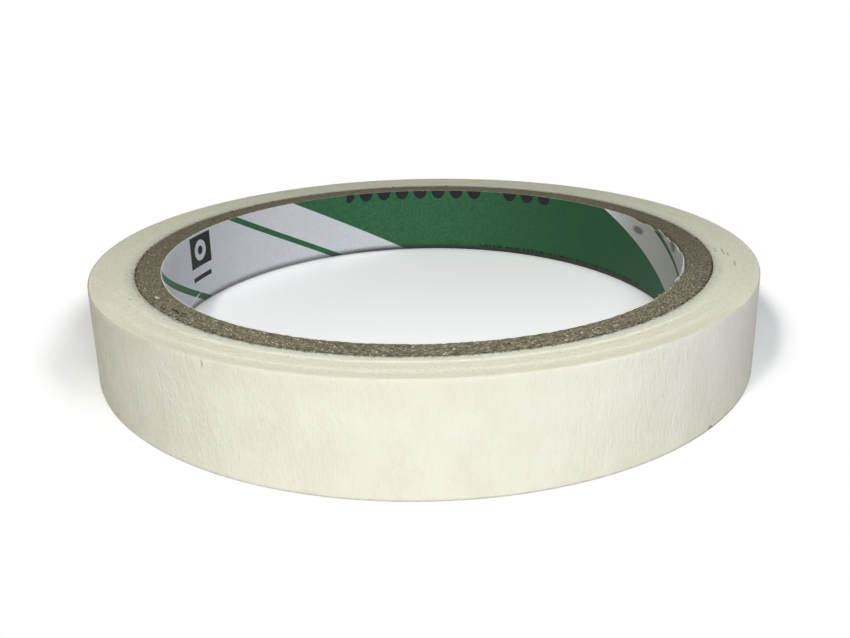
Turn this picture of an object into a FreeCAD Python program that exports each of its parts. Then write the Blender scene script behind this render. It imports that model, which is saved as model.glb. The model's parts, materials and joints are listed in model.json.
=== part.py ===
"""Roll of masking tape on a wound board core, lying flat, in millimetres.

The roll's axis is +Z and the tape's lower edge rests on z = 0. Azimuths are in degrees from +X,
counter-clockwise seen from above. Each piece of the core is a strip wound into a ring, and the tape is
one long strip wound on the core, cut into short links only where its free end peels off.
"""
import FreeCAD, Part
import math
import os

Vector = FreeCAD.Vector
UP = Vector(0, 0, 1)
ORIGIN = Vector(0, 0, 0)

# Core: printed paper inside, board plies around it
bore_radius = 38.1              # the 76.2 mm hole, on the liner's printed face
core_width = 12.2
liner_thickness = 0.12
liner_lap = 5.0                 # how far the liner strip overlaps itself
ply_count = 6
ply_thickness = 0.52
strip_lead = 119.7              # how far a strip climbs along the core in one turn round it
ply_joint_gap = 0.30            # between the two edges of one ply's strip
liner_joint_gap = 0.10
liner_joint_azimuth = 262.0
first_ply_joint_azimuth = 190.0
ply_joint_step = 77.0           # from one ply's joint to the next ply's

# Tape: crepe paper strip, stuck to the turn below by its adhesive
tape_width = 13.0
tape_thickness = 0.12
adhesive_thickness = 0.04
adhesive_setback = 0.25         # from the strip's edges, so each edge stands free of the next
full_turns = 36
peel_azimuth = 72.0             # where the tape's free end starts to lift
end_link_count = 6
end_link_length = 6.0

# Clearances
glue_line = 0.035               # glue film between two plies
core_clearance = 0.04           # between the core and the first turn
link_gap = 0.05                 # between two links of the free end

# Worked out from the sizes above
pitch = tape_thickness + adhesive_thickness
core_radius = bore_radius + liner_thickness + ply_count * (glue_line + ply_thickness)
first_turn_radius = core_radius + core_clearance
last_turn_radius = first_turn_radius + full_turns * pitch
roll_radius = last_turn_radius + tape_thickness
core_bottom = (tape_width - core_width) / 2


def cylinder(radius):
    """Solid disc of the core's width, at the core's place."""
    return Part.makeCylinder(radius, core_width, Vector(0, 0, core_bottom), UP)


def ring(inner_radius, outer_radius):
    return cylinder(outer_radius).cut(cylinder(inner_radius))


def helix_angle(radius):
    """Slant of a strip's edge against the core's circumference, in degrees."""
    return math.degrees(math.atan(strip_lead / (2 * math.pi * radius)))


def seam_slab(radius, azimuth, width):
    """Slanted bar that crosses the wall at one azimuth, along a wound strip's edge."""
    slant = helix_angle(radius)
    length = 1.5 * core_width / math.sin(math.radians(slant))
    slab = Part.makeBox(radius, length, width, Vector(radius / 2, -length / 2, -width / 2))
    slab.rotate(ORIGIN, Vector(1, 0, 0), slant)
    slab.translate(Vector(0, 0, tape_width / 2))
    slab.rotate(ORIGIN, UP, azimuth)
    return slab


def liner_lap_band(spare):
    """Second thickness of the liner, behind its joint, grown all round by the spare."""
    behind = bore_radius + liner_thickness
    band = ring(behind, behind + liner_thickness + spare)
    return band.common(seam_slab(behind, liner_joint_azimuth, liner_lap + 2 * spare))


def printed_liner():
    """Paper ring with its print on the bore; the lap lies behind, pressed into the first ply."""
    wall = ring(bore_radius, bore_radius + liner_thickness)
    wall = wall.cut(seam_slab(bore_radius, liner_joint_azimuth, liner_joint_gap))
    return wall.fuse(liner_lap_band(0)).removeSplitter()


def board_ply(index):
    """Open ring of board whose two edges almost meet along a slanted joint."""
    inner_radius = bore_radius + liner_thickness + glue_line + index * (ply_thickness + glue_line)
    outer_radius = inner_radius + ply_thickness
    azimuth = first_ply_joint_azimuth + index * ply_joint_step
    ply = ring(inner_radius, outer_radius).cut(seam_slab(outer_radius, azimuth, ply_joint_gap))
    if index == 0:
        ply = ply.cut(liner_lap_band(glue_line))
    return ply


def on_circle(centre_x, radius, azimuth):
    angle = math.radians(azimuth)
    return Vector(centre_x + radius * math.cos(angle), radius * math.sin(angle), 0)


def arc(centre_x, radius, start, end):
    """Arc in the plane z = 0, from one azimuth to another."""
    points = [on_circle(centre_x, radius, a) for a in (start, (start + end) / 2, end)]
    return Part.Arc(*points).toShape()


def spiral(start_radius, turns, end_azimuth):
    """Tangent half circles that grow by one pitch each turn, then an arc to the end azimuth."""
    edges = []
    for turn in range(turns):
        radius = start_radius + turn * pitch
        edges.append(arc(0, radius, 0, 180))
        edges.append(arc(pitch / 2, radius + pitch / 2, 180, 360))
    edges.append(arc(0, start_radius + turns * pitch, 0, end_azimuth))
    return edges


def strip(inner_edges, outer_edges, height):
    """Solid between two rows of edges that run the same way, standing on z = 0."""
    start = Part.makeLine(inner_edges[0].firstVertex().Point, outer_edges[0].firstVertex().Point)
    end = Part.makeLine(inner_edges[-1].lastVertex().Point, outer_edges[-1].lastVertex().Point)
    outline = Part.Wire(Part.__sortEdges__(inner_edges + [end] + outer_edges + [start]))
    return Part.Face(outline).extrude(Vector(0, 0, height))


def gap_azimuth(length):
    """Turn about the roll's axis that spans a length on the outside of the roll."""
    return math.degrees(length / roll_radius)


def one_turn(radius, start_azimuth):
    """Disc inside one turn of the spiral, closed by a step of one pitch at its two ends."""
    edges = [arc(0, radius, start_azimuth, 180), arc(pitch / 2, radius + pitch / 2, 180, 360)]
    if start_azimuth > 0:
        edges.append(arc(0, radius + pitch, 0, start_azimuth))
    edges.append(Part.makeLine(edges[-1].lastVertex().Point, edges[0].firstVertex().Point))
    return Part.Face(Part.Wire(edges)).extrude(Vector(0, 0, tape_width))


def wound_tape():
    """All turns stuck together; between their edges a spiral groove runs down to the adhesive."""
    end_azimuth = peel_azimuth - gap_azimuth(link_gap / 2)
    outside = one_turn(roll_radius - pitch, end_azimuth)
    groove = strip(spiral(first_turn_radius + tape_thickness, full_turns - 1, end_azimuth),
                   spiral(first_turn_radius + pitch, full_turns - 1, end_azimuth), adhesive_setback)
    lower_groove = groove.copy()
    groove.translate(Vector(0, 0, tape_width - adhesive_setback))
    return outside.cut(one_turn(first_turn_radius, 0)).cut(groove).cut(lower_groove)


def end_link(index):
    """One link of the free end, lying on the turn below it."""
    start = peel_azimuth + gap_azimuth(index * end_link_length + link_gap / 2)
    end = peel_azimuth + gap_azimuth((index + 1) * end_link_length - link_gap / 2)
    return strip([arc(0, last_turn_radius, start, end)], [arc(0, roll_radius, start, end)], tape_width)


def save(shape, node):
    solid = shape.Solids[0]
    if len(shape.Solids) != 1 or not solid.isValid():
        raise ValueError(f"{node} is not one valid solid")
    solid.exportStep(f"parts/{node}.step")
    print(f"{node}: {solid.Volume:.2f} mm3")


def main():
    os.makedirs("parts", exist_ok=True)
    save(printed_liner(), "printed_liner")
    for index in range(ply_count):
        save(board_ply(index), f"board_ply_{index + 1}")
    save(wound_tape(), "wound_tape")
    for index in range(end_link_count):
        save(end_link(index), f"tape_end_{index + 1}")
    for index in range(end_link_count):
        hinge = on_circle(0, roll_radius, peel_azimuth + gap_azimuth(index * end_link_length))
        print(f"hinge {index + 1}: x {hinge.x:.4f} y {hinge.y:.4f}")
    print(f"core radius {core_radius:.3f}, roll radius {roll_radius:.3f}")


main()
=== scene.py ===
"""Looks of a narrow roll of masking tape on a board core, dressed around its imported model.

Lengths are in metres, written as millimetres times MM, except in the materials, whose patterns are laid
out in millimetres. Azimuths are in degrees from +X, counter-clockwise seen from above. The roll's axis is
+Z and the tape's lower edge rests on z = 0. The roll is looked at from -Y, so +X is on the right.
"""
import json
import math

import bpy
from mathutils import Matrix, Vector, noise


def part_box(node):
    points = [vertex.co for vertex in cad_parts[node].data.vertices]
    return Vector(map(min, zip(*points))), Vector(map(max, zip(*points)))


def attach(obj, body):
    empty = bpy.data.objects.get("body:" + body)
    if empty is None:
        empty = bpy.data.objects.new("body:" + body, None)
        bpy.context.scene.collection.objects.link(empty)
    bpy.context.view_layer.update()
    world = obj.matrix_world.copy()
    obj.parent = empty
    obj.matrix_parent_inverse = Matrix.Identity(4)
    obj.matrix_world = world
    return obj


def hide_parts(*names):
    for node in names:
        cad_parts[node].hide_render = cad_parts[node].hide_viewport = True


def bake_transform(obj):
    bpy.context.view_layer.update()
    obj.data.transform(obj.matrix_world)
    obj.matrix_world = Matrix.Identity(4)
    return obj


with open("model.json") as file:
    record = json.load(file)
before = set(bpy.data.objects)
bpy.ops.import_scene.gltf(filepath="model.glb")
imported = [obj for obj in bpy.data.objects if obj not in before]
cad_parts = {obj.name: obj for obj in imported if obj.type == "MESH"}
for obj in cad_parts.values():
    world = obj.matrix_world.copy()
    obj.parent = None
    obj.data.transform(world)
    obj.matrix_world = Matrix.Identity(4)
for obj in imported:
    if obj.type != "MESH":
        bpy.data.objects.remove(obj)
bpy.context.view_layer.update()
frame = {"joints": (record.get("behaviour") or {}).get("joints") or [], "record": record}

MM = 0.001
TO_MM = (1000.0, 1000.0, 1000.0)

# ---- Sizes taken from the frame ----
tape_low, tape_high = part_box("wound_tape")
core_low, core_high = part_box("board_ply_1")
mounts = {mount["name"]: mount for mount in frame["record"]["mounts"]}
hinges = {joint["name"]: joint["pos_m"] for joint in frame["joints"]}

BORE = mounts["core_bore"]["dims"]["r_mm"] * MM
ROLL = tape_high.x
PITCH = tape_high.x + tape_low.x        # one turn of tape with its adhesive
TAPE_TOP = tape_high.z
CORE_BOTTOM = core_low.z
CORE_TOP = core_high.z
CORE_MIDDLE = (CORE_TOP + CORE_BOTTOM) / 2
PLIES = 6
PLY_OUTER = [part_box(f"board_ply_{ply + 1}")[1].x for ply in range(PLIES)]
CORE_RADIUS = PLY_OUTER[-1]
LINKS = len(hinges)
HINGE_AZIMUTH = [
    math.degrees(math.atan2(hinges[f"peel_{link + 1}"][1], hinges[f"peel_{link + 1}"][0]))
    for link in range(LINKS)
]
LINK_TURN = HINGE_AZIMUTH[1] - HINGE_AZIMUTH[0]

# ---- Tape ----
TURNS = 36
PAPER = 0.12 * MM                       # crepe paper alone
STRIP = 0.15 * MM                       # one turn as it is drawn, a hair less than the pitch
SPIRAL_STEPS = 640                      # points of a wound turn
UNEVENNESS = 0.10 * MM                  # how far the turns' edges stray up and down
SURFACE_STEP = 0.15                     # degrees between two columns of the outer face
SURFACE_ROWS = 24
BEND_BEFORE = 2.0 * MM                  # a hinge's bend starts this far before it
BEND_AFTER = 4.0 * MM
END_GAP = 0.03 * MM                     # the tape's end stops this short of its last link's end
END_TEAR = 0.60 * MM                    # how deep the end is torn
FURROW_WIDTH = 0.38 * MM
FURROW_HEIGHT = 1.3 * MM
FURROW_DEPTH = 0.04 * MM
EDGE_ROUND = 0.20 * MM                  # height over which the outer turn's edges are worn round
EDGE_INSET = 0.07 * MM

# ---- Liner and core ----
LINER = 0.12 * MM                       # the liner's thickness
LINER_TOP = 12.38 * MM
LINER_SECTIONS = 1100
LINER_SEAM = 262.0                      # azimuth at half height
LINER_SEAM_GAP = 0.12 * MM
SEAM_SLOPE = 1.99                       # how far a strip's edge runs round the core per height
PLY_SECTIONS = 1500
PLY_STEPS = 8                           # across the cut face of one ply
WALL_STEPS = 12                         # up the wall of one ply
PLY_CLEARANCE = 0.015 * MM
PLY_SEAM_FIRST = 190.0
PLY_SEAM_STEP = 77.0
PLY_SEAM_GAP = 0.45 * MM
TOP_BEVEL = (0.12 * MM, 0.16 * MM)      # width and depth of the core's broken inner edges
LOW_BEVEL = (0.50 * MM, 1.00 * MM)
FOOT_LOW = 0.12 * MM                    # the liner's lower edge hangs a little below the board
FOOT_HEIGHT = 1.55 * MM                 # and curls into the bevel
FOOT_CURL = 0.50 * MM
FOOT_STEPS, FACE_STEPS, LIP_STEPS = 6, 12, 6
LIP_HEIGHT = 0.9 * MM                   # where the liner's torn edge leans into the bore
LIP_LEAN = 0.30 * MM
LINER_TEAR = 0.60 * MM                  # how deep the torn edge is


# ================================================================ node trees

class Wire:
    """A value in a node tree, on which plain sums can be written."""

    def __init__(self, tree, socket):
        self.tree = tree
        self.socket = socket

    def maths(self, operation, *others):
        """A plain sum, by the name that the Math node has for it."""
        return add_node(self.tree, "ShaderNodeMath", self, *others, operation=operation)

    def __add__(self, other):
        return self.maths("ADD", other)

    def __sub__(self, other):
        return self.maths("SUBTRACT", other)

    def __mul__(self, other):
        return self.maths("MULTIPLY", other)

    def __truediv__(self, other):
        return self.maths("DIVIDE", other)

    def step(self, low, high, start=0.0, end=1.0):
        """Soft step from start to end while the value goes from low to high."""
        return add_node(self.tree, "ShaderNodeMapRange", self, low, high, start, end,
                        interpolation_type="SMOOTHSTEP")

    def within(self, low, high, soft):
        """1 between low and high, 0 outside, with soft borders."""
        return self.step(low - soft, low + soft) * self.step(high - soft, high + soft, 1.0, 0.0)


def feed(tree, socket, value):
    """Links a wire to a socket, or writes a plain value there."""
    if isinstance(value, Wire):
        tree.links.new(value.socket, socket)
    elif value is not None:
        socket.default_value = value


def add_node(tree, kind, *values, named=None, **settings):
    """Adds one node, feeds its visible inputs in order or by name, and returns its first visible output."""
    node = tree.nodes.new(kind)
    for key, value in settings.items():
        setattr(node, key, value)
    for socket, value in zip([s for s in node.inputs if s.enabled], values):
        feed(tree, socket, value)
    for name, value in (named or {}).items():
        feed(tree, node.inputs[name], value)
    return Wire(tree, next(s for s in node.outputs if s.enabled))


def combine(tree, x, y, z):
    """A vector from its three parts."""
    return add_node(tree, "ShaderNodeCombineXYZ", x, y, z)


def split(tree, vector):
    """The three parts of a vector."""
    node = tree.nodes.new("ShaderNodeSeparateXYZ")
    feed(tree, node.inputs[0], vector)
    return [Wire(tree, socket) for socket in node.outputs]


def grain(tree, vector, scale, detail=2.0, roughness=0.5):
    """Noise between 0 and 1."""
    return add_node(tree, "ShaderNodeTexNoise", named={
        "Vector": vector, "Scale": scale, "Detail": detail, "Roughness": roughness})


def distance(x, y):
    """Length of a flat vector."""
    return (x * x + y * y).maths("SQRT")


def largest(*wires):
    """The largest of some values."""
    total = wires[0]
    for wire in wires[1:]:
        total = total.maths("MAXIMUM", wire)
    return total


def wound_coordinates(tree, point, along, across, upright):
    """Pattern space with its own scale along the winding, across it and up the roll, without a seam."""
    x, y, z = split(tree, point)
    radius = distance(x, y)
    reach = BORE / MM * along
    return combine(tree, x / radius * reach, y / radius * reach, radius * across + z * upright)


def blend_colour(tree, factor, first, second):
    """The first colour where the factor is 0, the second where it is 1."""
    return add_node(tree, "ShaderNodeMix", factor, first, second, data_type="RGBA")


# ================================================================ materials

def paint(red, green, blue):
    """A colour written as 0 to 255 values, as the shader takes it."""
    linear = [((v / 255 + 0.055) / 1.055) ** 2.4 for v in (red, green, blue)]
    return (*linear, 1.0)


def new_material(name, roughness, specular):
    """An opaque material: itself, its tree and its shader node."""
    material = bpy.data.materials.new(name)
    material.use_nodes = True
    shader = material.node_tree.nodes["Principled BSDF"]
    shader.inputs["Roughness"].default_value = roughness
    shader.inputs["Specular IOR Level"].default_value = specular
    return material, material.node_tree, shader


def millimetres(tree):
    """The point on the piece, in millimetres."""
    point = Wire(tree, tree.nodes.new("ShaderNodeTexCoord").outputs["Object"])
    return add_node(tree, "ShaderNodeVectorMath", point, TO_MM, operation="MULTIPLY")


def mottled(tree, factor, colours):
    """A shade that wanders between two colours, as the factor does between 0 and 1."""
    return blend_colour(tree, factor, paint(*colours[0]), paint(*colours[1]))


def coated(tree, shade, *coats):
    """Lays coats over a shade, each as (how strongly, colour)."""
    for factor, colour in coats:
        shade = blend_colour(tree, factor, shade, paint(*colour))
    return shade


def finish_shader(tree, shader, colour, height, depth):
    """Wires the colour, and a bump whose height is in millimetres times the depth."""
    feed(tree, shader.inputs["Base Color"], colour)
    bump = add_node(tree, "ShaderNodeBump", named={
        "Strength": 1.0, "Distance": depth * MM, "Height": height})
    feed(tree, shader.inputs["Normal"], bump)


# ---- Crepe paper ----

CREPE_CREAM = (237, 235, 218), (242, 240, 225)
CREPE_STAIN = (237, 231, 216)
RIB_TONE_AND_PAINTED_SHADE = (210, 206, 189)
FIBRE_WHITE_AND_PAINTED_HIGHLIGHT = (255, 252, 246)
# painted shade under the upper edge on the -X side
CROWN_PAINTED_SHADE = (226, 223, 206)           # duller under the upper edge on the -X side
# painted light on the upper flank at +X
FLANK_PAINTED_LIGHT = (250, 246, 242)           # paler under the upper edge at +X
# painted shade at the -X limb
LIMB_PAINTED_SHADE = (184, 181, 172)            # greyed right at -X
# painted shade along the lower edge, where the roll meets the floor
FOOT_PAINTED_SHADE = (162, 153, 150)             # along the lower edge
LIP_DARKENING = (222, 219, 196)              # along the upper edge
# painted shade in the crease
CREASE_PAINTED_SHADE = (166, 160, 138)
# painted shade of a nick in the lower edge
NICK_PAINTED_SHADE = (138, 120, 108)
CREASE_AZIMUTH = 242.0
CREASE_HEIGHT = 12.3
NICK_AZIMUTH = 312.4
NICK_HEIGHT = 0.35
RELIEF_DEPTH = 0.19


def crepe_material():
    """Cream crepe paper: short upright ribs that come and go, soft blotches, paler fibres, painted light and
    shade, and painted shade along the foot.
    """
    material, tree, shader = new_material("crepe_paper", 0.7, 0.05)
    x, y, z = split(tree, millimetres(tree))

    def upright(stretch, scale, *settings):
        return grain(tree, combine(tree, x, y, z * stretch), scale, *settings)

    ribs = upright(0.30, 2.6, 3.0, 0.6)
    fine = upright(0.35, 6.5, 2.0, 0.6)
    fibres = upright(0.36, 3.8, 2.0, 0.6).step(0.58, 0.70)
    patches = upright(0.60, 0.30, 2.0).step(0.35, 0.65)
    blotches = upright(0.60, 0.28, 2.0).step(0.3, 0.7)
    stains = upright(0.90, 0.75, 2.0, 0.6).step(0.55, 0.75)

    # Ribs and fibres are the paper's own grain, and towards the sides, most on -X, also painted shade and
    # highlight
    sides = x.maths("ABSOLUTE").step(24.0, 40.0)        # the fibres stand out more towards +X and -X
    left = x.step(-42.0, -28.0, 1.0, 0.0)
    # painted shade right at the -X limb
    far_left_painted_shade = x.step(-46.9, -43.2, 1.0, 0.0)
    # painted shade under the upper edge, fading out towards +X
    crown_painted_shade = x.step(0.0, 30.0, 1.0, 0.0) * z.step(8.0, 12.5)
    # painted light on the +X flank
    flank_painted_light = x.step(10.0, 36.0) * (z + ribs * 3.0).step(2.0, 12.0)
    # painted shade along the lower edge, reaching a little higher towards +X
    foot = (z + ribs * 0.2 - x.step(20.0, 40.0) * 0.15).step(0.14, 0.38, 1.0, 0.0)
    lip = z.step(12.80, 12.95)
    crease = crease_mark(x, y, z)
    shade = coated(
        tree, mottled(tree, blotches, CREPE_CREAM),
        (stains * 0.5, CREPE_STAIN),
        # darker ribs: the paper's own tone, with painted shade in the furrows added towards -X
        (ribs.step(0.42, 0.60) * (patches * 0.05 + sides * 0.06 + left * 0.22 + 0.02), RIB_TONE_AND_PAINTED_SHADE),
        (fibres * (patches * 0.10 + sides * 0.45 + 0.09), FIBRE_WHITE_AND_PAINTED_HIGHLIGHT),
        (crown_painted_shade * 0.35, CROWN_PAINTED_SHADE),
        (flank_painted_light * 0.5, FLANK_PAINTED_LIGHT),
        (foot * 0.6, FOOT_PAINTED_SHADE),
        (lip * 0.6, LIP_DARKENING),
        # painted shade in the crease
        (crease * 0.45, CREASE_PAINTED_SHADE),
        # painted shade of a nick in the lower edge
        (nick_painted_shade(x, y, z + ribs * 0.5) * 0.7, NICK_PAINTED_SHADE),
        (far_left_painted_shade * 0.6, LIMB_PAINTED_SHADE))
    strength = x.step(10.0, 32.0, 0.6, 0.85) + x.step(-44.0, -16.0, 1.3, 0.0)
    relief = (ribs + fine * 0.5) * (patches * 0.4 + 0.65) * strength
    finish_shader(tree, shader, shade, relief - crease * 0.6, RELIEF_DEPTH)
    return material


def from_face(x, y, azimuth):
    """How far a point is along X and Y from an upright line on the roll's outer face."""
    angle = math.radians(azimuth)
    return x - ROLL / MM * math.cos(angle), y - ROLL / MM * math.sin(angle)


def crease_mark(x, y, z):
    """One short bowed crease under the upper edge."""
    bow = (z - CREASE_HEIGHT) * (z - CREASE_HEIGHT) * 0.45
    aside, away = from_face(x + bow, y, CREASE_AZIMUTH)
    line = distance(aside, away).step(0.09, 0.24, 1.0, 0.0)
    return line * z.within(11.7, 12.9, 0.12)


def nick_painted_shade(x, y, z):
    """Painted shade of a small nick in the lower edge."""
    aside, away = from_face(x, y, NICK_AZIMUTH)
    above = z - NICK_HEIGHT
    return (aside * aside + away * away + above * above).step(0.08, 0.34, 1.0, 0.0)


# ---- Wound edges of the tape ----

EDGE_CREAM = (238, 235, 209), (255, 254, 239)
EDGE_STREAK = (222, 219, 194)
# painted shade in a band by the rim, on the -Y side
OUTER_PAINTED_SHADE = (220, 217, 193)
# painted highlight on a ring, on the -Y side
RING_PAINTED_HIGHLIGHT = (252, 250, 238)
# painted shade in a band across the middle of the face, on the -Y side
MIDDLE_PAINTED_SHADE = (216, 213, 190)
# painted shade on the -Y side
FRONT_PAINTED_SHADE = (222, 219, 199)
# painted shade at the back, towards +Y
BACK_PAINTED_SHADE = (204, 204, 186)
# grey-green dust near the core, and painted shade where the turns slope down to it
CORE_DUST_AND_PAINTED_SHADE = (212, 214, 196), (243, 243, 226)
# painted highlight along the raised ridge, on the -Y side
RIDGE_PAINTED_HIGHLIGHT = (255, 253, 243)
# dust, and painted shade in the gap between the turns and the core
BORDER_DUST_AND_PAINTED_SHADE = (108, 108, 92)
SPECK_SHADE = (140, 136, 114)
EDGE_STROKES = (                        # azimuth, distance from the axis, half length
    (348.0, 43.4, 1.7), (346.2, 43.9, 1.0), (341.0, 44.4, 1.3), (349.5, 42.6, 1.0), (214.0, 43.3, 0.4))
STROKE_WIDTH = 0.13


def crepe_edge_material():
    """Cut edges of the turns: cream and grainy, with painted light and shade in rings on the -Y side,
    painted shade at the back, and dust and painted shade towards the core.
    """
    material, tree, shader = new_material("crepe_edges", 0.8, 0.06)
    point = millimetres(tree)
    x, y, _ = split(tree, point)
    radius = distance(x, y)
    rim = radius * -1.0 + ROLL / MM                     # distance from the rim
    speckle = grain(tree, point, 4.6, 3.0, 0.7)
    streaks = grain(tree, wound_coordinates(tree, point, 0.9, 6.5, 0.0), 1.0, 2.0, 0.6)
    # painted shade at the back, towards +Y
    behind = (y / radius).step(0.3, 0.95)
    # the rings are painted light and shade, on the -Y side, which the lamps face
    rings = (y / radius).step(-0.88, -0.55, 1.0, 0.0)   # the rings show on the -Y side
    outer = (rim + speckle * 0.9).step(1.60, 2.45, 1.0, 0.0) * rim.step(0.1, 0.8, 0.45, 1.0)
    shade = coated(
        tree, mottled(tree, speckle.step(0.32, 0.68), EDGE_CREAM),
        (streaks.step(0.46, 0.66) * 0.22, EDGE_STREAK),
        (outer * rings * 0.55, OUTER_PAINTED_SHADE),
        (rim.within(1.70, 2.00, 0.10) * rings * 0.15, RING_PAINTED_HIGHLIGHT),
        (rim.within(2.3, 3.6, 0.30) * rings * 0.32, MIDDLE_PAINTED_SHADE),
        (rings * 0.15, FRONT_PAINTED_SHADE),
        (behind * 0.5, BACK_PAINTED_SHADE))
    # dust near the core, and painted shade where the turns sink towards it
    core_dust_and_shade = mottled(tree, speckle.step(0.35, 0.65), CORE_DUST_AND_PAINTED_SHADE)
    shade = blend_colour(tree, rim.step(4.2, 5.4), shade, core_dust_and_shade)
    broken = grain(tree, point, 0.16, 2.0, 0.6).step(0.38, 0.58)
    # dust, and painted shade in the gap by the core
    border = (grain(tree, point, 2.4, 2.0, 0.7) * 1.1 + rim).step(5.85, 6.45)
    specks = grain(tree, point, 3.0, 1.0).step(0.71, 0.75) * rim.step(2.0, 4.5, 0.25, 1.0)
    specks = largest(specks, *strokes(tree, point, EDGE_STROKES, speckle))
    shade = coated(
        tree, shade,
        (rim.within(3.84, 4.08, 0.07) * rings * broken * 0.8, RIDGE_PAINTED_HIGHLIGHT),
        (border * (rings * 0.45 + 0.45), BORDER_DUST_AND_PAINTED_SHADE),
        (specks * 0.6, SPECK_SHADE))
    finish_shader(tree, shader, shade, speckle + streaks * 0.9, 0.09)
    return material


def strokes(tree, point, places, ragged):
    """Short strokes on a face of the roll, each lying along the winding."""
    x, y, _ = split(tree, point)
    marks = []
    for azimuth, reach, length in places:
        cosine, sine = math.cos(math.radians(azimuth)), math.sin(math.radians(azimuth))
        across = (x * cosine + y * sine - reach) / STROKE_WIDTH
        along = (y * cosine - x * sine) / length
        marks.append((across * across + along * along + ragged).step(1.0, 1.9, 0.8, 0.0))
    return marks


def adhesive_material():
    """Sticky inner face of the tape: the paper's colour a little deeper, with a low gloss."""
    material, tree, shader = new_material("adhesive_face", 0.38, 0.5)
    mottle = grain(tree, millimetres(tree), 1.4, 3.0, 0.6)
    shade = mottled(tree, mottle.step(0.3, 0.7), ((226, 218, 190), (238, 232, 208)))
    finish_shader(tree, shader, shade, mottle, 0.02)
    return material


# ---- Board ----

BOARD_GREY = (104, 98, 80), (131, 125, 104)
# painted shade
BOARD_PAINTED_SHADE = (80, 73, 59)
PALE_STREAK = (184, 176, 154)
DARK_STREAK = (62, 55, 43)
PALE_GRAIN = (180, 172, 150)
# painted shade in pits
PIT_PAINTED_SHADE = (34, 30, 23)
PALE_FLECK = (216, 210, 192)
# painted shade in holes
HOLE_PAINTED_SHADE = (24, 21, 16)
BOARD_HOLES = (                         # azimuth, distance from the axis, half length
    (222.8, 40.1, 0.9), (225.2, 39.9, 0.6), (220.5, 40.9, 0.5), (283.0, 39.7, 0.5))


def board_material():
    """Cut greyboard: short fibres along the winding, pale flecks, painted shade in pits and holes, and
    painted shade on the -Y and +X sides.
    """
    material, tree, shader = new_material("cut_greyboard", 0.9, 0.05)
    point = millimetres(tree)

    def wound(along, across, upright, *settings):
        return grain(tree, wound_coordinates(tree, point, along, across, upright), 1.0, *settings)

    streaks = wound(2.2, 5.2, 4.0, 3.0, 0.65)
    coarse = wound(1.6, 2.4, 2.0, 4.0, 0.7)
    flecks = wound(1.9, 4.0, 3.0, 1.0).step(0.66, 0.71)
    pits = wound(1.6, 4.2, 3.0, 2.0, 0.6).step(0.36, 0.29)
    fine = grain(tree, point, 5.5, 3.0, 0.7)
    holes = largest(*strokes(tree, point, BOARD_HOLES, fine))
    x, y, _ = split(tree, point)
    radius = distance(x, y)
    torn = ((x * 0.06 - y) / radius).step(-0.1, 0.75, 0.22, 1.0)        # rougher on the -Y side
    # painted shade on the -Y side and towards +X
    board_painted_shade = (y / radius).step(-0.98, -0.88, 0.2, 0.0) + (x / radius).step(0.74, 0.96, 0.0, 0.24)
    shade = coated(
        tree, mottled(tree, coarse.step(0.36, 0.64), BOARD_GREY),
        (board_painted_shade, BOARD_PAINTED_SHADE),
        (streaks.step(0.50, 0.62) * torn * 0.6, PALE_STREAK),
        (streaks.step(0.46, 0.34) * torn * 0.6, DARK_STREAK),
        (fine.step(0.50, 0.68) * torn * 0.40, PALE_GRAIN),
        (pits * torn * 0.95, PIT_PAINTED_SHADE),
        (flecks * torn * 0.7, PALE_FLECK),
        (holes, HOLE_PAINTED_SHADE))
    finish_shader(tree, shader, shade, (coarse * 0.5 + streaks * 1.4 + fine * 0.6) * torn - holes, 0.08)
    return material


def chip_material(name, colours):
    """Loose fibres and chips of the cut board."""
    material, tree, shader = new_material(name, 0.85, 0.2)
    mottle = grain(tree, millimetres(tree), 4.0, 2.0)
    shade = mottled(tree, mottle.step(0.3, 0.7), colours)
    finish_shader(tree, shader, shade, mottle, 0.03)
    return material


# ---- Liner, whose print is placed in millimetres along the bore from azimuth 0 ----

PRINT_PERIOD = 125.3                    # at the height of the tape's top
PRINT_SLANT = 1.92                      # a stripe's run along the bore per height
PRINT_SOFT = 0.06
PRINT_TURNS = 10                        # whole periods added, so that no place is below 0
THIN_STRIPE = (6.9, 9.2)
WIDE_STRIPE = (20.9, 88.0)
SECOND_THIN_STRIPE = (101.1, 103.3)
LINER_WHITE = (235, 238, 244), (240, 242, 248)
LINER_GRAIN = (198, 200, 205)
# soiling, and painted shade, on the +X side of the bore
LINER_SOIL_AND_PAINTED_SHADE = (184, 185, 179)
GREEN_INK = (45, 98, 65), (62, 114, 80)
# painted shade on the green ink towards +X
GREEN_PAINTED_SHADE = (34, 78, 48)
DARK_INK = (30, 34, 32)
# painted shadow below the torn edge
TORN_EDGE_PAINTED_SHADOW = (74, 74, 72)
SCRATCH_WHITE = (252, 252, 247)
# painted shade along the liner's lower edge, where it meets the floor
LINER_FOOT_PAINTED_SHADE = (58, 56, 50)
TORN_EDGE_SHADOW_SPOTS = (                             # place, height, half width, half height
    (11.6, 10.6, 1.7, 0.7), (-1.2, 11.4, 1.3, 1.0), (3.0, 12.1, 2.0, 0.5))

# Plain marks; levels are measured down from the tape's top, except the ticks' height
DISC_PITCH, DISC_WIDTH, DISC_HEIGHT, DISC_LEVEL = 3.66, 1.35, 1.75, 0.5
DISC_ROWS = (33.6, 44.6), (47.6, 75.4)
SIGN_PLACE, SIGN_LEVEL, SIGN_WIDTH, SIGN_HEIGHT = 110.7, 3.65, 6.4, 5.4
SIGN_RING = (0.75, 1.75)
BAR_HALF_WIDTH, BAR_LEVELS = 2.8, (8.6, 7.8)
TICK_ROW, TICK_HEIGHTS = (10.6, 48.5), (0.85, 1.40)


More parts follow.
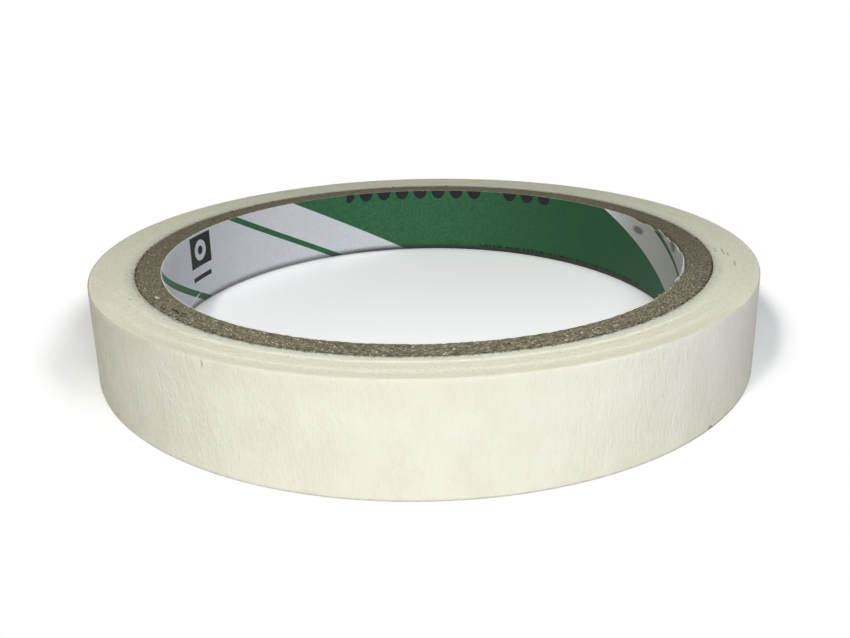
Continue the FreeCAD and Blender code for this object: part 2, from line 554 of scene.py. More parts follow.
def liner_material():
    """Coated white paper with slanted green stripes, a sign in a frame and rows of plain marks."""
    material, tree, shader = new_material("printed_liner_paper", 0.55, 0.25)
    chart = add_node(tree, "ShaderNodeUVMap", uv_map="unrolled")
    along, height, _ = split(tree, chart)
    point = millimetres(tree)
    mottle = grain(tree, point, 2.0, 3.0, 0.6)
    cloud = grain(tree, point, 0.2, 2.0).step(0.2, 0.8)
    fine = grain(tree, point, 4.5, 2.0, 0.7).step(0.35, 0.65)
    white = coated(
        tree, mottled(tree, cloud, LINER_WHITE),
        (fine * 0.45, LINER_GRAIN),
        (along.within(-20.0, 17.0, 6.0), LINER_SOIL_AND_PAINTED_SHADE))
    ink = coated(
        tree, mottled(tree, mottle.step(0.3, 0.7), GREEN_INK),
        # painted shade on the green ink towards +X
        (along.within(-30.0, 43.0, 19.0) * 0.75, GREEN_PAINTED_SHADE))
    scratch = (along + height * 3.9 - 120.9).within(-0.55, 0.55, 0.25) * height.within(0.9, 2.2, 0.2)
    # painted shade along the liner's lower edge
    liner_foot_painted_shade = (height + mottle * 0.5).step(0.6, 1.85, 1.0, 0.0)
    shade = coated(
        tree, blend_colour(tree, stripes(along, height), white, ink),
        (plain_marks(tree, along, height), DARK_INK),
        # painted shadow below the torn edge
        (torn_edge_painted_shadows(along, height, mottle), TORN_EDGE_PAINTED_SHADOW),
        (scratch * 0.95, SCRATCH_WHITE),
        (liner_foot_painted_shade * (along.within(8.0, 76.0, 6.0) * 0.25 + 0.62), LINER_FOOT_PAINTED_SHADE))
    finish_shader(tree, shader, shade, mottle, 0.01)
    return material


def stripes(along, height):
    """Slanted stripes, which run steeper on the +X side."""
    start = TAPE_TOP / MM * PRINT_SLANT + PRINT_TURNS * PRINT_PERIOD
    phase = (along - height * PRINT_SLANT + start).maths("MODULO", PRINT_PERIOD)
    steeper = along.within(-20.0, 50.0, 10.0)
    return largest(
        (phase - (height - 11.9) * steeper).within(*THIN_STRIPE, PRINT_SOFT),
        (phase - (height - 7.9) * steeper * 0.28).within(*WIDE_STRIPE, PRINT_SOFT),
        phase.within(*SECOND_THIN_STRIPE, PRINT_SOFT))


def torn_edge_painted_shadows(along, height, mottle):
    """Painted shadow in soft grey spots below the torn upper edge."""
    spots = []
    for place, level, width, tall in TORN_EDGE_SHADOW_SPOTS:
        across = (along - place) / width
        above = (height - level) / tall
        spots.append((across * across + above * above + mottle).step(0.7, 1.9, 0.75, 0.0))
    return largest(*spots)


def plain_marks(tree, along, height):
    """Dark print: a row of half discs, a block with a pale ring over a bar, and ticks low down."""
    top = TAPE_TOP / MM
    across = ((along / DISC_PITCH).maths("FRACT") - 0.5) * DISC_PITCH / DISC_WIDTH
    below = (height * -1.0 + (top - DISC_LEVEL)) / DISC_HEIGHT
    disc = (across * across + below * below).step(0.9, 1.1, 1.0, 0.0)
    discs = largest(*[along.within(*row, 0.03) for row in DISC_ROWS]) * disc

    across = (along - SIGN_PLACE).maths("ABSOLUTE")
    above = (height - (top - SIGN_LEVEL)).maths("ABSOLUTE")
    block = largest(across / (SIGN_WIDTH / 2), above / (SIGN_HEIGHT / 2)).step(0.97, 1.0, 1.0, 0.0)
    ring = distance(across, above).within(*SIGN_RING, 0.08)
    sign = block * (ring * -1.0 + 1.0)
    bar_low, bar_high = (top - level for level in BAR_LEVELS)
    bar = across.step(BAR_HALF_WIDTH - 0.05, BAR_HALF_WIDTH + 0.05, 1.0, 0.0)
    bar = bar * height.within(bar_low, bar_high, 0.05)

    ticks = grain(tree, combine(tree, along, 0.0, 0.0), 1.1, 2.0, 0.6).step(0.50, 0.53, 1.0, 0.0)
    ticks = ticks * along.within(*TICK_ROW, 0.1) * height.within(*TICK_HEIGHTS, 0.05)
    return largest(discs, sign, bar, ticks)


def raw_paper_material():
    """Uncoated back and torn edge of the liner."""
    material, tree, shader = new_material("raw_paper", 0.85, 0.2)
    mottle = grain(tree, millimetres(tree), 3.0, 3.0, 0.6)
    shade = mottled(tree, mottle.step(0.3, 0.7), ((206, 206, 198), (238, 238, 232)))
    finish_shader(tree, shader, shade, mottle, 0.03)
    return material


# ================================================================ meshes

def new_piece(name, points, faces, materials):
    """A mesh object at the origin."""
    mesh = bpy.data.meshes.new(name)
    mesh.from_pydata(points, [], faces)
    for material in materials:
        mesh.materials.append(material)
    piece = bpy.data.objects.new(name, mesh)
    bpy.context.scene.collection.objects.link(piece)
    return piece


def smooth(piece, crease=40.0):
    """Smooth shading, with the edges sharper than the crease left hard."""
    piece.data.shade_smooth()
    piece.data.set_sharp_from_angle(angle=math.radians(crease))


def loft_faces(sections, size, closed):
    """Quads through a row of closed sections of so many points each, and end caps if it is open."""
    faces = []
    for section in range(sections if closed else sections - 1):
        here = section * size
        there = (section + 1) % sections * size
        for k in range(size):
            after = (k + 1) % size
            faces.append((here + k, here + after, there + after, there + k))
    if not closed:
        last = (sections - 1) * size
        faces.append(tuple(range(size - 1, -1, -1)))
        faces.append(tuple(range(last, last + size)))
    return faces


def spiral_point(azimuth, depth, height):
    """Point at a depth under the outer turn: half circles about two centres, one pitch a turn.

    Azimuth 0 starts the outermost turn, and lower azimuths run back along the tape.
    """
    turn = math.floor(azimuth / 360)
    shift = PITCH / 2 if azimuth - 360 * turn > 180 else 0.0
    reach = ROLL + turn * PITCH + shift - depth
    angle = math.radians(azimuth)
    return shift + reach * math.cos(angle), reach * math.sin(angle), height


def furrow_depth(point):
    """How far the crepe paper's face lies under its highest ridges."""
    x, y, z = point
    wide = Vector((x / FURROW_WIDTH, y / FURROW_WIDTH, z / FURROW_HEIGHT))
    fold = abs(noise.noise(wide)) * 1.6
    swell = 0.5 + 0.5 * noise.noise(wide * 0.35)
    patch = 0.6 + 0.8 * noise.noise(Vector((x, y, z)) / (5.0 * MM))
    return FURROW_DEPTH * min(1.0, (0.6 * fold + 0.4 * swell) * patch)


def azimuth_of(length):
    """Turn about the roll's axis that spans a length on the roll's outside, in degrees."""
    return math.degrees(length / ROLL)


def tape_strip(name, start, end, thickness, materials, torn=0.0):
    """Upright strip of tape along the outer turn, with crepe furrows on its outer face.

    A second material goes on its inner face, and its far end may be torn to some depth.
    """
    columns = max(2, round((end - start) / SURFACE_STEP))
    worn = [EDGE_ROUND / TAPE_TOP * share for share in (0.0, 0.3, 0.65)]
    outer_levels = worn + [row / SURFACE_ROWS for row in range(1, SURFACE_ROWS)]
    outer_levels += [1.0 - share for share in reversed(worn)]
    inner_levels = (1.0, 0.5, 0.0)
    points = []
    for column in range(columns + 1):
        share = column / columns
        for index, level in enumerate((*outer_levels, *inner_levels)):
            azimuth = start + (end - start) * share - azimuth_of(torn * tear(level) * share)
            height = edge_height(level, azimuth)
            depth = thickness
            if index < len(outer_levels):
                near_edge = 1 - min(1.0, min(level, 1.0 - level) * TAPE_TOP / EDGE_ROUND)
                furrow = furrow_depth(spiral_point(azimuth, 0.0, height))
                depth = min(furrow + EDGE_INSET * near_edge ** 2, 0.8 * thickness)
            points.append(spiral_point(azimuth, depth, height))
    size = len(outer_levels) + len(inner_levels)
    piece = new_piece(name, points, loft_faces(columns + 1, size, False), materials)
    if len(materials) > 1:
        for face in piece.data.polygons:
            if face.index % size in (size - 3, size - 2) and len(face.vertices) == 4:
                face.material_index = 1
    smooth(piece)
    return piece


def tear(level):
    """Ragged edge of the torn end, from 0 to 1 over the tape's width."""
    return 0.5 + 0.5 * noise.noise(Vector((level * 9.0, 3.7, 0.0))) + 0.15 * abs(math.sin(level * 70))


def edge_height(level, azimuth):
    """Height of a level of the strip; its two edges are a little uneven."""
    waver = 0.03 * MM * (0.5 + 0.5 * noise.noise(Vector((azimuth * 1.3, 0.0, level))))
    return level * TAPE_TOP + (waver if level == 0.0 else -waver if level == 1.0 else 0.0)


def lift_azimuth():
    """Where the tape starts to lift as it peels."""
    return HINGE_AZIMUTH[0] - azimuth_of(BEND_BEFORE)


def outer_turn(materials):
    """The last whole turn of tape, up to where the free end starts to lift."""
    end = lift_azimuth()
    piece = tape_strip("outer_turn", end - 360, end, STRIP, materials)
    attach(piece, "roll")
    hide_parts("wound_tape")


def free_end(materials):
    """The free end in pieces, each of which lies across one hinge."""
    for link, hinge in enumerate(HINGE_AZIMUTH):
        start = hinge - azimuth_of(BEND_BEFORE)
        bend_end = hinge + azimuth_of(BEND_AFTER)
        end, torn = bend_end, 0.0
        if link == LINKS - 1:
            end, torn = hinge + LINK_TURN - azimuth_of(END_GAP), END_TEAR
        piece = tape_strip(f"free_end_{link + 1}", start, end, PAPER, materials, torn)
        spiral_point(start, 0, 0)
        spiral_point(bend_end, 0, 0)
        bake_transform(piece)
        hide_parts(f"tape_end_{link + 1}")


# ---- Wound turns, a strip along a spiral ----

def node_group(name, inputs):
    """A geometry tree with named float inputs: the tree, its inputs' wires and its output node."""
    tree = bpy.data.node_groups.new(name, "GeometryNodeTree")
    tree.interface.new_socket("Geometry", in_out="OUTPUT", socket_type="NodeSocketGeometry")
    for key in inputs:
        tree.interface.new_socket(key, in_out="INPUT", socket_type="NodeSocketFloat")
    source = tree.nodes.new("NodeGroupInput")
    wires = {key: Wire(tree, source.outputs[key]) for key in inputs}
    return tree, wires, tree.nodes.new("NodeGroupOutput")


def grow(name, tree, inputs, materials):
    """Runs a geometry tree with its inputs set, and returns the result as a plain mesh piece."""
    piece = new_piece(name, [], [], materials)
    modifier = piece.modifiers.new(name, "NODES")
    modifier.node_group = tree
    for item in tree.interface.items_tree:
        if item.in_out == "INPUT":
            modifier[item.identifier] = inputs[item.name]
    graph = bpy.context.evaluated_depsgraph_get()
    mesh = bpy.data.meshes.new_from_object(piece.evaluated_get(graph))
    piece.modifiers.clear()
    piece.data = mesh
    mesh.name = name
    return piece


def wound_tree(material):
    """A strip swept along the spiral, whose two edges follow the roll's uneven faces."""
    inputs = ("First Radius", "Pitch", "Turns", "Thickness", "Width", "Steps", "Unevenness")
    tree, value, out = node_group("wound_strip", inputs)
    line = add_node(tree, "GeometryNodeCurvePrimitiveLine", (0, 0, 0), (1, 0, 0))
    line = add_node(tree, "GeometryNodeResampleCurve", line, None, value["Turns"] * value["Steps"])
    share = add_node(tree, "GeometryNodeSplineParameter")
    turns = share * value["Turns"]
    half = (turns.maths("FRACT") - 0.5).maths("GREATER_THAN", 0.0) * value["Pitch"] * 0.5
    reach = value["First Radius"] + turns.maths("FLOOR") * value["Pitch"] + half
    angle = turns * (2 * math.pi)
    place = combine(tree, half + reach * angle.maths("COSINE"), reach * angle.maths("SINE"), 0.0)
    spiral = add_node(tree, "GeometryNodeSetPosition", line, None, place)
    spiral = add_node(tree, "GeometryNodeSetCurveNormal", spiral, mode="Z_UP")
    outline = add_node(tree, "GeometryNodeCurvePrimitiveQuadrilateral", value["Thickness"], value["Width"])
    strip = add_node(tree, "GeometryNodeCurveToMesh", named={
        "Curve": spiral, "Profile Curve": outline, "Fill Caps": True})
    strip = add_node(tree, "GeometryNodeSetPosition", strip, None, None, uneven_edges(tree, value))
    strip = add_node(tree, "GeometryNodeSetShadeSmooth", strip, named={"Shade Smooth": False})
    strip = add_node(tree, "GeometryNodeRealizeInstances", strip)
    strip = add_node(tree, "GeometryNodeSetMaterial", strip, named={"Material": material})
    feed(tree, out.inputs[0], strip)
    return tree


def uneven_edges(tree, value):
    """Offset that lifts the strip into place and sets each edge back by its distance from the rim.

    The set-backs are in millimetres, under a highest level 0.03 mm inside the tape's width.
    """
    position = Wire(tree, tree.nodes.new("GeometryNodeInputPosition").outputs[0])
    x, y, z = split(tree, position)
    radius = distance(x, y)
    rim = (radius * -1.0 + ROLL) / MM                   # distance from the rim in millimetres
    drop = rim.step(0.1, 0.5, 0.03, 0.06)               # lip of the outermost turns
    drop = drop - rim.step(1.55, 1.70, 0.0, 0.02)       # step after the eighth turn
    front = (y / radius).step(-0.88, -0.55, 1.0, 0.0)
    drop = drop - rim.within(3.75, 4.12, 0.08) * front * 0.05   # raised ridge
    drop = drop + rim.step(4.0, 5.8, 0.0, 0.29)         # slope down to the core
    point = add_node(tree, "ShaderNodeVectorMath", position, TO_MM, operation="MULTIPLY")
    fine = grain(tree, point, 2.6, 3.0, 0.7) - 0.5
    turn_id = ((radius - CORE_RADIUS) / value["Pitch"]).maths("FLOOR")
    per_turn = add_node(tree, "ShaderNodeTexWhiteNoise", turn_id, noise_dimensions="1D") - 0.5
    wander = grain(tree, combine(tree, x * 60.0, y * 60.0, turn_id * 3.1), 1.0, 1.0) - 0.5
    rough = (fine * 0.7 + per_turn * 0.3 + wander * 0.5) * value["Unevenness"]
    drop = (drop + 0.03) * MM + rough
    upper = z.maths("GREATER_THAN", 0.0)
    setback = drop.maths("MAXIMUM", 0.0)
    lift = value["Width"] * 0.5
    return combine(tree, 0.0, 0.0, lift - upper * setback + (upper * -1.0 + 1.0) * setback)


def wound_turns(material):
    """All turns under the outer one."""
    sizes = {
        "First Radius": ROLL - TURNS * PITCH - STRIP / 2,
        "Pitch": PITCH,
        "Turns": TURNS - 1 + lift_azimuth() / 360,
        "Thickness": STRIP,
        "Width": TAPE_TOP,
        "Steps": SPIRAL_STEPS,
        "Unevenness": UNEVENNESS,
    }
    piece = grow("wound_turns", wound_tree(material), sizes, [])
    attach(piece, "roll")
    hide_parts("wound_tape")


# ---- Core ----

def bevelled(ply, radius, inner, bevel):
    """How far a bevel takes the face back at a radius; only the innermost ply has one."""
    width, depth = bevel
    return 0.0 if ply else max(0.0, 1 - (radius - inner) / width) * depth


def ply_section(ply, inner, outer):
    """Section of one ply as (radius, height, roughness) points, anticlockwise seen along the wind."""
    top, bottom = [], []
    for step in range(PLY_STEPS + 1):
        radius = inner + (outer - inner) * step / PLY_STEPS
        top.append((radius, CORE_TOP - bevelled(ply, radius, inner, TOP_BEVEL), 1.0))
        bottom.append((radius, CORE_BOTTOM + bevelled(ply, radius, inner, LOW_BEVEL), 1.0))
    bottom.reverse()
    return top + wall(top[-1], bottom[0]) + bottom + wall(bottom[-1], top[0])


def wall(first, last):
    """Points between two section points, close enough for a slanted wall to stay round."""
    return [tuple(a + (b - a) * step / WALL_STEPS for a, b in zip(first[:2], last[:2])) + (0.0,)
            for step in range(1, WALL_STEPS)]


def cut_roughness(azimuth, radius, face):
    """Depth of the sawn face under its highest fibres; the fibres run along the winding."""
    along = math.radians(azimuth) * BORE / MM
    across = radius / MM
    fibre = noise.noise(Vector((along / 0.85, across / 0.17, face)))
    coarse = noise.noise(Vector((along / 1.1, across / 0.8, face + 20)))
    pit = max(0.0, noise.noise(Vector((along / 0.45, across / 0.35, face + 40))) - 0.38)
    torn = 0.4 + 0.6 * min(1.0, max(0.0, (math.cos(math.radians(azimuth - 267)) + 0.1) / 0.85))
    return MM * (0.07 + (0.06 * fibre + 0.02 * coarse + 0.8 * pit) * torn)


def board_ply(ply, material):
    """One ply: a strip wound into a ring whose slanted edges almost meet."""
    inner = (PLY_OUTER[ply - 1] if ply else BORE + LINER) + PLY_CLEARANCE
    seam = PLY_SEAM_FIRST + ply * PLY_SEAM_STEP
    gap = azimuth_of(PLY_SEAM_GAP)
    section = ply_section(ply, inner, PLY_OUTER[ply])
    points = []
    for step in range(PLY_SECTIONS):
        azimuth = seam + gap / 2 + (360 - gap) * step / (PLY_SECTIONS - 1)
        for radius, height, rough in section:
            angle = math.radians(azimuth) + (height - CORE_MIDDLE) * SEAM_SLOPE / radius
            upper = height > CORE_MIDDLE
            face = 3.1 * ply + (0 if upper else 50)     # its own part of the noise
            depth = rough * max(0.0, cut_roughness(math.degrees(angle), radius, face))
            height += -depth if upper else depth
            height = min(max(height, CORE_BOTTOM), CORE_TOP)
            points.append((radius * math.cos(angle), radius * math.sin(angle), height))
    faces = loft_faces(PLY_SECTIONS, len(section), False)
    piece = new_piece(f"core_ply_{ply + 1}", points, faces, [material])
    smooth(piece, 60)
    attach(piece, "roll")
    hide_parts(f"board_ply_{ply + 1}")


def liner_edge(azimuth):
    """How much paper is missing from the liner's upper edge, and how far it leans into the bore."""
    turn = (azimuth + 180) % 360 - 180
    ragged = noise.noise(Vector((azimuth * 0.8, 1.0, 0.0))) * 0.06 * MM
    torn = window(turn, -9, 19, 3)
    lobes = 0.5 + 0.5 * noise.noise(Vector((turn * 0.30, 14.0, 0.0)))
    lobes += 0.25 * noise.noise(Vector((turn, 2.0, 0.0)))
    missing = torn * LINER_TEAR * max(0.0, 1.7 * lobes - 0.35) + ragged
    wavy = 0.8 + 0.9 * noise.noise(Vector((azimuth * 0.25, 5.0, 0.0)))
    lean = window(turn, -30, 4, 4) * LIP_LEAN * wavy
    return missing, lean


def window(value, low, high, soft):
    """1 between low and high, falling to 0 over the soft width outside them."""
    return max(0.0, min(1.0, (value - low) / soft + 1, (high - value) / soft + 1))


def liner_section(azimuth):
    """Inner face of the liner from its lower edge up, as (radius, height) points."""
    missing, lean = liner_edge(azimuth)
    low = FOOT_LOW + 0.04 * MM * noise.noise(Vector((azimuth * 0.6, 9.0, 0.0)))
    top = LINER_TOP - missing
    lip = top - LIP_HEIGHT
    foot = low + FOOT_HEIGHT
    points = []
    for step in range(FOOT_STEPS + 1):
        share = step / FOOT_STEPS
        points.append((BORE + FOOT_CURL * (1 - share) ** 2.2, low + FOOT_HEIGHT * share))
    for step in range(1, FACE_STEPS + 1):
        points.append((BORE, foot + (lip - foot) * step / FACE_STEPS))
    for step in range(1, LIP_STEPS + 1):
        share = step / LIP_STEPS
        points.append((BORE - lean * share ** 2, lip + LIP_HEIGHT * share))
    return points


def printed_liner(materials):
    """Paper ring with its print on the inner face, its chart of the bore in millimetres."""
    gap = azimuth_of(LINER_SEAM_GAP)
    slant = math.degrees((CORE_TOP - CORE_MIDDLE) * SEAM_SLOPE / BORE)
    points, chart = [], []
    for step in range(LINER_SECTIONS):
        azimuth = LINER_SEAM - 360 + gap / 2 + (360 - gap) * step / (LINER_SECTIONS - 1)
        inside = liner_section(azimuth + slant)
        back = [(r + LINER, z) for r, z in reversed(inside)]
        for radius, height in inside + back:
            angle = math.radians(azimuth) + (height - CORE_MIDDLE) * SEAM_SLOPE / BORE
            points.append((radius * math.cos(angle), radius * math.sin(angle), height))
            chart.append((angle * BORE / MM, height / MM))
    size = len(points) // LINER_SECTIONS
    faces = [tuple(reversed(face)) for face in loft_faces(LINER_SECTIONS, size, False)]
    piece = new_piece("liner_sheet", points, faces, materials)
    for face in piece.data.polygons:
        if len(face.vertices) == 4 and face.index % size >= size // 2 - 1:
            face.material_index = 1
    layer = piece.data.uv_layers.new(name="unrolled")
    for loop in piece.data.loops:
        layer.data[loop.index].uv = chart[loop.vertex_index]
    smooth(piece, 50)
    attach(piece, "roll")
    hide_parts("printed_liner")


# ---- Loose chips and fibres of the cut board ----

def chip_tree(name, material):
    """Chips strewn at random over a stretch of both cut faces of the core."""
    inputs = ("Count", "Seed", "First Turn", "Last Turn", "Inner Radius", "Outer Radius", "Low", "High",
              "Length", "Width", "Thickness", "Spread")
    tree, value, out = node_group(name, inputs)

    def chance(low, high, offset):
        return add_node(tree, "FunctionNodeRandomValue", low, high, None, value["Seed"] + offset,
                        data_type="FLOAT")

    angle = chance(value["First Turn"], value["Last Turn"], 1.0) * (2 * math.pi)
    radius = chance(value["Inner Radius"], value["Outer Radius"], 2.0)
    side = chance(0.0, 1.0, 3.0).maths("GREATER_THAN", 0.5)
    height = value["Low"] + (value["High"] - value["Low"]) * side
    place = combine(tree, radius * angle.maths("COSINE"), radius * angle.maths("SINE"), height)
    points = add_node(tree, "GeometryNodePoints", value["Count"], place, 0.001)
    chip = add_node(tree, "GeometryNodeMeshIcoSphere", 0.5, 1)
    turn = combine(tree, chance(-0.4, 0.4, 4.0), chance(-0.3, 0.3, 5.0),
                   angle + (math.pi / 2) + chance(-1.0, 1.0, 6.0) * value["Spread"])
    turn = add_node(tree, "FunctionNodeEulerToRotation", turn)
    size = chance(0.35, 1.0, 7.0)
    scale = combine(tree, value["Length"] * size, value["Width"] * size, value["Thickness"] * size)
    chips = add_node(tree, "GeometryNodeInstanceOnPoints", named={
        "Points": points, "Instance": chip, "Rotation": turn, "Scale": scale})
    chips = add_node(tree, "GeometryNodeRealizeInstances", chips)
    chips = add_node(tree, "GeometryNodeSetMaterial", chips, named={"Material": material})
    feed(tree, out.inputs[0], chips)
    return tree


def board_chips(name, material, count, seed, radii, size, sink, turns, spread):
    """One kind of chip on the core's cut faces.

    radii and turns bound the stretch, sink is how deep the chips' middles lie in the faces, and spread
    is how far they may turn away from the winding, in radians.
    """
    length, width, thickness = size
    piece = grow(name, chip_tree(name, material), {
        "Count": count, "Seed": seed, "First Turn": turns[0], "Last Turn": turns[1],
        "Inner Radius": radii[0], "Outer Radius": radii[1],
        "Low": CORE_BOTTOM + sink, "High": CORE_TOP - sink,
        "Length": length, "Width": width, "Thickness": thickness, "Spread": spread,
    }, [])
    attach(piece, "roll")


# ================================================================ stage

CAMERA_PLACE = (0.37 * MM, -111.21 * MM, 44.52 * MM)
CAMERA_PITCH = 0.2496                   # radians below the horizon
CAMERA_ROLL = -0.0193
CAMERA_LENS = 31.92
CAMERA_SHIFT = -0.1176
CLIP_START = 0.005

WORLD_STRENGTH = 0.07
WORLD_TINT = (0.96, 0.98, 1.0, 1)
WHITE = (1, 1, 1, 1)
LAMPS = (                               # name, place, aim, size, power, colour
    ("key", (0.015, -0.153, 0.122), (0, -0.03, 0), 0.09, 0.157, (1, 1, 1)),
    ("left_front", (-0.081, -0.162, 0.200), (0, 0, 0), 0.03, 0.205, (1.0, 0.985, 0.91)),
    ("right_front", (0.065, -0.110, 0.130), (0, 0, 0), 0.07, 0.036, (0.85, 0.92, 1.0)),
    ("back_fill", (0.0, 0.35, 0.06), (0, 0.03, 0), 0.09, 0.38, (1, 1, 1)))

# The floor shows the roll's shadow up to two arcs, whose centres lie behind the roll's axis
TABLE_HALF = 2.0
TABLE_WHITE = (1.18, 1.185, 1.20, 1)    # as the camera sees it
TABLE_BOUNCE = (0.75, 0.75, 0.75, 1)    # as it lights the roll
# painted light: a glow on the floor seen through the bore
BORE_PAINTED_LIGHT = (0.97, 0.98, 1.0, 1)        # lifts the floor seen through the bore
FADE_MIDDLE = -1.25 * MM
FADE_ASIDE = 6.75 * MM
FADE_BEHIND = 12.0 * MM
FADE_START = 50.0 * MM
FADE_END = 54.0 * MM
FADE_SOFTER = 3.5 * MM                  # how much sooner it starts at the back on the -X side


def place_camera():
    """The camera, set up by its place and turns."""
    camera = bpy.data.objects.new("camera", bpy.data.cameras.new("camera"))
    bpy.context.scene.collection.objects.link(camera)
    turn = Matrix.Rotation(math.pi / 2 - CAMERA_PITCH, 4, "X") @ Matrix.Rotation(CAMERA_ROLL, 4, "Z")
    camera.matrix_world = Matrix.Translation(CAMERA_PLACE) @ turn
    camera.data.lens = CAMERA_LENS
    camera.data.shift_y = CAMERA_SHIFT
    camera.data.clip_start = CLIP_START
    bpy.context.scene.camera = camera


def place_lamp(name, place, aim, size, power, colour):
    """A round soft lamp that points at its aim."""
    lamp = bpy.data.lights.new(name, "AREA")
    lamp.shape = "DISK"
    lamp.size = size
    lamp.energy = power
    lamp.color = colour
    holder = bpy.data.objects.new(name, lamp)
    bpy.context.scene.collection.objects.link(holder)
    holder.location = place
    holder.rotation_euler = (Vector(aim) - Vector(place)).to_track_quat("-Z", "Y").to_euler()


def seen(tree):
    """1 for the rays by which the camera sees the backdrop, straight or by a reflection."""
    path = tree.nodes.new("ShaderNodeLightPath")
    kinds = ("Camera", "Glossy", "Transmission")
    return largest(*[Wire(tree, path.outputs[f"Is {kind} Ray"]) for kind in kinds])


def light_world():
    """A faint even light, seen as plain white."""
    world = bpy.data.worlds.new("studio")
    world.use_nodes = True
    tree = world.node_tree
    tree.nodes.clear()
    light = add_node(tree, "ShaderNodeBackground", WORLD_TINT, WORLD_STRENGTH)
    white = add_node(tree, "ShaderNodeBackground", WHITE, 1.0)
    mixed = add_node(tree, "ShaderNodeMixShader", seen(tree), light, white)
    feed(tree, tree.nodes.new("ShaderNodeOutputWorld").inputs[0], mixed)
    bpy.context.scene.world = world


def fade_out(x, y, radius):
    """0 where the floor shows the roll's shadow, 1 where it is plain white."""
    aside = ((x - FADE_MIDDLE).maths("ABSOLUTE") - FADE_ASIDE).maths("MAXIMUM", 0.0)
    softer = x.step(-10.0 * MM, 10.0 * MM, FADE_SOFTER, 0.0) * y.step(-16.0 * MM, -3.0 * MM)
    start = softer * -1.0 + FADE_START
    away = distance(aside, y - FADE_BEHIND).step(start, FADE_END)
    front = (y / radius).step(-0.64, -0.50, 1.0, 0.0) * radius.step(47.8 * MM, 49.4 * MM)
    return largest(away, front)


def floor():
    """White table top that fades to plain white away from the roll."""
    material = bpy.data.materials.new("table_white")
    material.use_nodes = True
    tree = material.node_tree
    tree.nodes.clear()
    x, y, _ = split(tree, Wire(tree, tree.nodes.new("ShaderNodeTexCoord").outputs["Object"]))
    radius = distance(x, y)
    # painted light: the floor glows brighter inside the bore, a little less towards -X, and faintly outside
    # it
    lift = radius.step(36.0 * MM, 39.0 * MM, 0.135, 0.02) * x.step(-36.0 * MM, -5.0 * MM, 0.72, 1.0)
    near = add_node(tree, "ShaderNodeAddShader",
                    add_node(tree, "ShaderNodeBsdfDiffuse", TABLE_WHITE),
                    add_node(tree, "ShaderNodeEmission", BORE_PAINTED_LIGHT, lift))
    white = add_node(tree, "ShaderNodeEmission", WHITE, 1.0)
    shown = add_node(tree, "ShaderNodeMixShader", fade_out(x, y, radius), near, white)
    bounce = add_node(tree, "ShaderNodeBsdfDiffuse", TABLE_BOUNCE)
    result = add_node(tree, "ShaderNodeMixShader", seen(tree), bounce, shown)
    feed(tree, tree.nodes.new("ShaderNodeOutputMaterial").inputs[0], result)
    corners = [(-TABLE_HALF, -TABLE_HALF, 0), (TABLE_HALF, -TABLE_HALF, 0),
               (TABLE_HALF, TABLE_HALF, 0), (-TABLE_HALF, TABLE_HALF, 0)]
    table = new_piece("table", corners, [(0, 1, 2, 3)], [material])


def set_stage():
    """Camera, lamps, world and floor."""
    bpy.context.scene.view_settings.view_transform = "Standard"
    place_camera()
    for lamp in LAMPS:
        place_lamp(*lamp)
    light_world()
    floor()


# ================================================================ build

def dress_roll():
    """The tape, the core and the liner."""
    crepe = crepe_material()
    adhesive = adhesive_material()
    board = board_material()
    outer_turn([crepe])
    free_end([crepe, adhesive])
    wound_turns(crepe_edge_material())
    for ply in range(PLIES):
        board_ply(ply, board)
    printed_liner([liner_material(), raw_paper_material()])


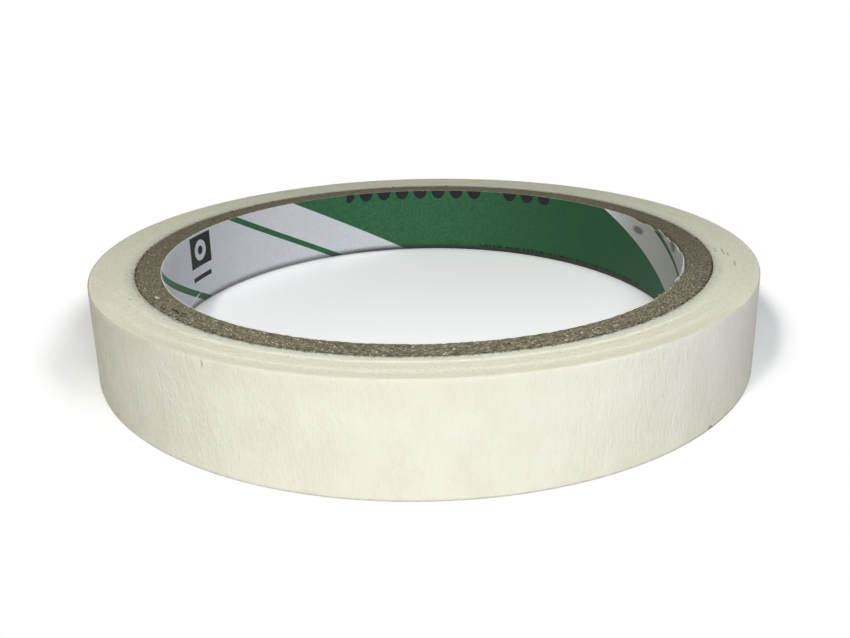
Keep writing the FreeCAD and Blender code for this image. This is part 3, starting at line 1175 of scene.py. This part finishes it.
def strew_chips():
    """Chips, crumbs and fibres on the core, thickest on the -Y side, where it is cut rougher."""
    pale = chip_material("pale_fibre", ((206, 200, 182), (236, 232, 220)))
    tan = chip_material("tan_fibre", ((132, 123, 101), (156, 147, 123)))
    dark = chip_material("dark_crumb", ((58, 52, 42), (92, 84, 68)))
    lint = chip_material("edge_lint", ((176, 180, 164), (226, 228, 212)))

    # Where they lie: inner and outer radius, and the stretch of a turn from azimuth 0
    face = (BORE + 0.3 * MM, CORE_RADIUS - 0.1 * MM)
    border = (CORE_RADIUS - 0.16 * MM, CORE_RADIUS + 0.12 * MM)
    hair_border = (CORE_RADIUS - 0.25 * MM, CORE_RADIUS + 0.15 * MM)
    lint_border = (CORE_RADIUS + 0.02 * MM, CORE_RADIUS + 0.55 * MM)
    inner_rim = (BORE - 0.05 * MM, BORE + 0.55 * MM)
    chip_place = (40.2 * MM, 40.25 * MM)
    all_round, rough_side = (0.0, 1.0), (0.50, 0.95)
    frayed, chip_azimuth = (0.883, 0.925), (0.5958, 0.5959)

    # Length, width and thickness
    fleck = (0.34 * MM, 0.20 * MM, 0.10 * MM)
    fibre = (0.50 * MM, 0.07 * MM, 0.06 * MM)
    big_chip = (0.75 * MM, 0.40 * MM, 0.25 * MM)
    crumb = (0.50 * MM, 0.20 * MM, 0.18 * MM)
    fray = (0.55 * MM, 0.22 * MM, 0.30 * MM)
    fluff = (0.40 * MM, 0.10 * MM, 0.10 * MM)
    hair = (0.55 * MM, 0.05 * MM, 0.06 * MM)

    for name, material, count, seed, radii, size, sink, turns, spread in (
        ("pale_flecks", pale, 200, 3, face, fleck, 0.06 * MM, rough_side, 0.7),
        ("pale_flecks_behind", pale, 40, 4, face, fleck, 0.07 * MM, all_round, 0.7),
        ("tan_fibres", tan, 620, 11, face, fibre, 0.07 * MM, rough_side, 0.7),
        ("tan_fibres_behind", tan, 240, 12, face, fibre, 0.08 * MM, all_round, 0.7),
        ("white_chip", pale, 6, 5, chip_place, big_chip, 0.03 * MM, chip_azimuth, 0.7),
        ("border_crumbs", dark, 620, 23, border, crumb, 0.0, rough_side, 0.7),
        ("border_crumbs_behind", dark, 130, 24, border, crumb, 0.0, all_round, 0.7),
        ("frayed_rim", tan, 120, 31, inner_rim, fray, 0.06 * MM, frayed, 0.7),
        ("border_lint", lint, 700, 41, lint_border, fluff, 0.0, all_round, 0.7),
        ("border_hairs", dark, 340, 53, hair_border, hair, 0.0, rough_side, 1.5),
    ):
        board_chips(name, material, count, seed, radii, size, sink, turns, spread)


set_stage()
dress_roll()
strew_chips()
